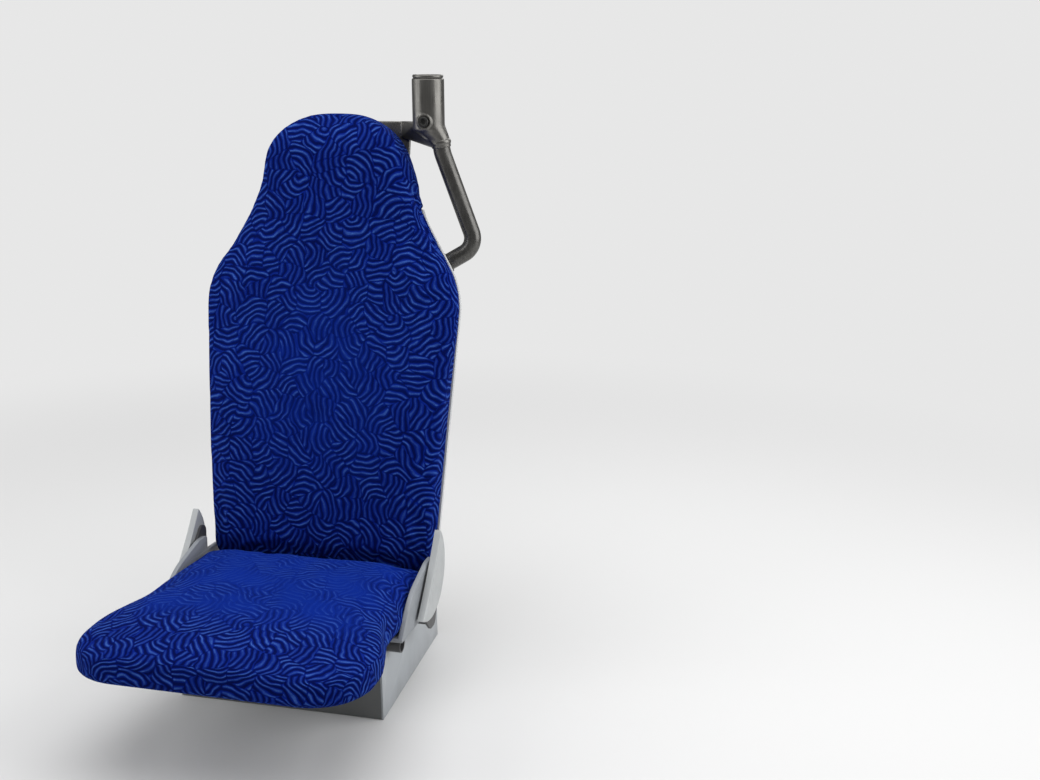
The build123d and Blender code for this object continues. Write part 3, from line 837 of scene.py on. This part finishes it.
SURROUND = rgba(0.80, 0.80, 0.80)
FLOOR_COLOR = rgba(0.62, 0.62, 0.62)
FLOOR_REACH = 14.0
FLOOR_DROP = 0.0005
GLOW_FROM = 0.7
GLOW_FULL = 2.3
WORLD_LIGHT = 0.36
GLOSSY_LESS = -0.16
floor_corners = [(x * FLOOR_REACH, y * FLOOR_REACH, 0) for x, y in ((-1, -1), (1, -1), (1, 1), (-1, 1))]
floor_mesh = bpy.data.meshes.new("floor")
floor_mesh.from_pydata(floor_corners, [], [(0, 1, 2, 3)])
floor = link("floor", floor_mesh)
floor.location.z = -FLOOR_DROP
floor_material, floor_tree, floor_shader = begin("floor")
floor_shader.inputs["Base Color"].default_value = FLOOR_COLOR
floor_shader.inputs["Roughness"].default_value = 0.8
floor_output = next(n for n in floor_tree.nodes if n.type == "OUTPUT_MATERIAL")
distance = put(floor_tree, "ShaderNodeVectorMath", {0: place_of(floor_tree)}, operation="LENGTH")
away = ramp(floor_tree, distance.outputs["Value"], GLOW_FROM, GLOW_FULL)
seen = put(floor_tree, "ShaderNodeLightPath")
glow = put(floor_tree, "ShaderNodeEmission", {"Color": SURROUND, "Strength": 1.0})
glow_share = maths(floor_tree, "MULTIPLY", away, seen.outputs["Is Camera Ray"])
mixed = put(floor_tree, "ShaderNodeMixShader",
            {0: glow_share, 1: floor_shader.outputs[0], 2: glow.outputs[0]})
floor_tree.links.new(mixed.outputs[0], floor_output.inputs["Surface"])
floor.data.materials.append(floor_material)

world = bpy.data.worlds.new("studio")
world.use_nodes = True
scene.world = world
air = world.node_tree
air.nodes.clear()
air_output = air.nodes.new("ShaderNodeOutputWorld")
path = put(air, "ShaderNodeLightPath")
shown = maths(air, "MAXIMUM", path.outputs["Is Camera Ray"], path.outputs["Is Transmission Ray"])
dimmer = maths(air, "MULTIPLY_ADD", path.outputs["Is Glossy Ray"], GLOSSY_LESS, WORLD_LIGHT)
light = put(air, "ShaderNodeBackground", {"Color": rgba(1.0, 1.0, 1.0), "Strength": dimmer})
view = put(air, "ShaderNodeBackground", {"Color": SURROUND, "Strength": 1.0})
air_mix = put(air, "ShaderNodeMixShader", {0: shown, 1: light.outputs[0], 2: view.outputs[0]})
air.links.new(air_mix.outputs[0], air_output.inputs["Surface"])

# Name, place, aim, size in metres, power in watts
LAMPS = (
    ("overhead", (0.1, -0.2, 2.6), (0, 0, 0.3), (2.6, 2.2), 46.0),
    ("aisle", (2.3, 0.2, 1.45), (0, 0, 0.7), (2.1, 2.3), 48.0),
    ("window", (-2.2, -0.8, 1.45), (0, 0, 0.7), (1.9, 2.3), 36.0),
    ("rear", (0.5, 2.2, 2.0), (0, 0, 0.7), (1.8, 1.2), 16.0),
)


def lamp(name, place, aim, size, power):
    """Soft white area lamp."""
    data = bpy.data.lights.new(name, "AREA")
    data.shape = "RECTANGLE"
    data.size, data.size_y = size
    data.energy = power
    made = bpy.data.objects.new(name, data)
    scene.collection.objects.link(made)
    made.location = place
    made.rotation_euler = (Vector(aim) - Vector(place)).to_track_quat("-Z", "Y").to_euler()


for settings in LAMPS:
    lamp(*settings)

scene.view_settings.view_transform = "Standard"
